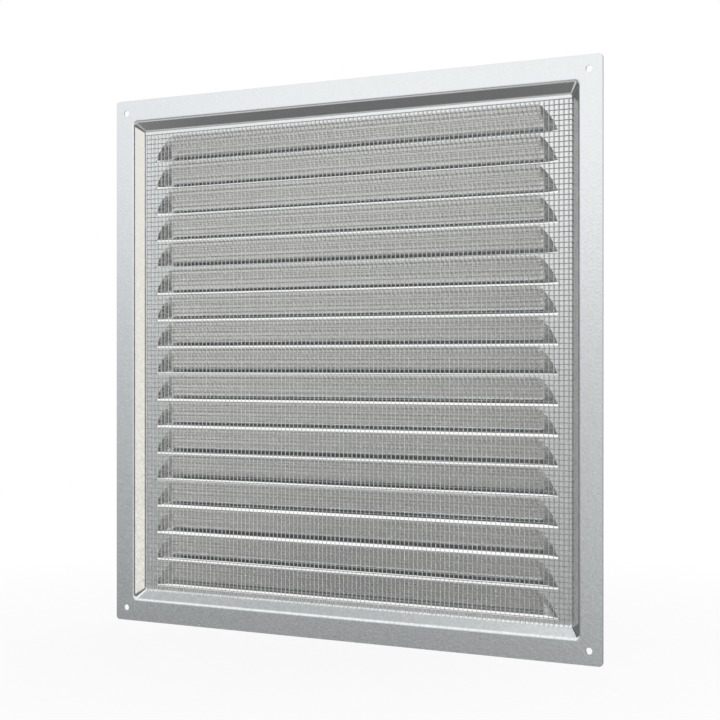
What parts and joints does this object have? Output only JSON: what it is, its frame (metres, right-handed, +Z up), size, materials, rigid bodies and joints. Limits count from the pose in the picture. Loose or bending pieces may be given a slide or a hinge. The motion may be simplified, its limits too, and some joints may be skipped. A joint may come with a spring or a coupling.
{
  "type": "ventilation grille",
  "caption": "Square pressed steel ventilation grille: a shallow pan with rows of downward louvres, a flat flange with corner screw holes, and a fine wire insect screen behind.",
  "frame": {"origin": "centre of the panel on the wall side of its flange", "axes": "+Y away from the wall, +Z up, so the louvres open downwards; the panel lies in the XZ plane"},
  "size_m": [0.4, 0.0136, 0.4],
  "materials": {
    "galvanised_sheet": "galvanised, satin",
    "screen_wire": "galvanised wire"
  },
  "bodies": {
    "root": {"louvre_panel": "galvanised_sheet", "screen_upright_wires": "screen_wire", "screen_cross_wires": "screen_wire"}
  },
  "joints": []
}
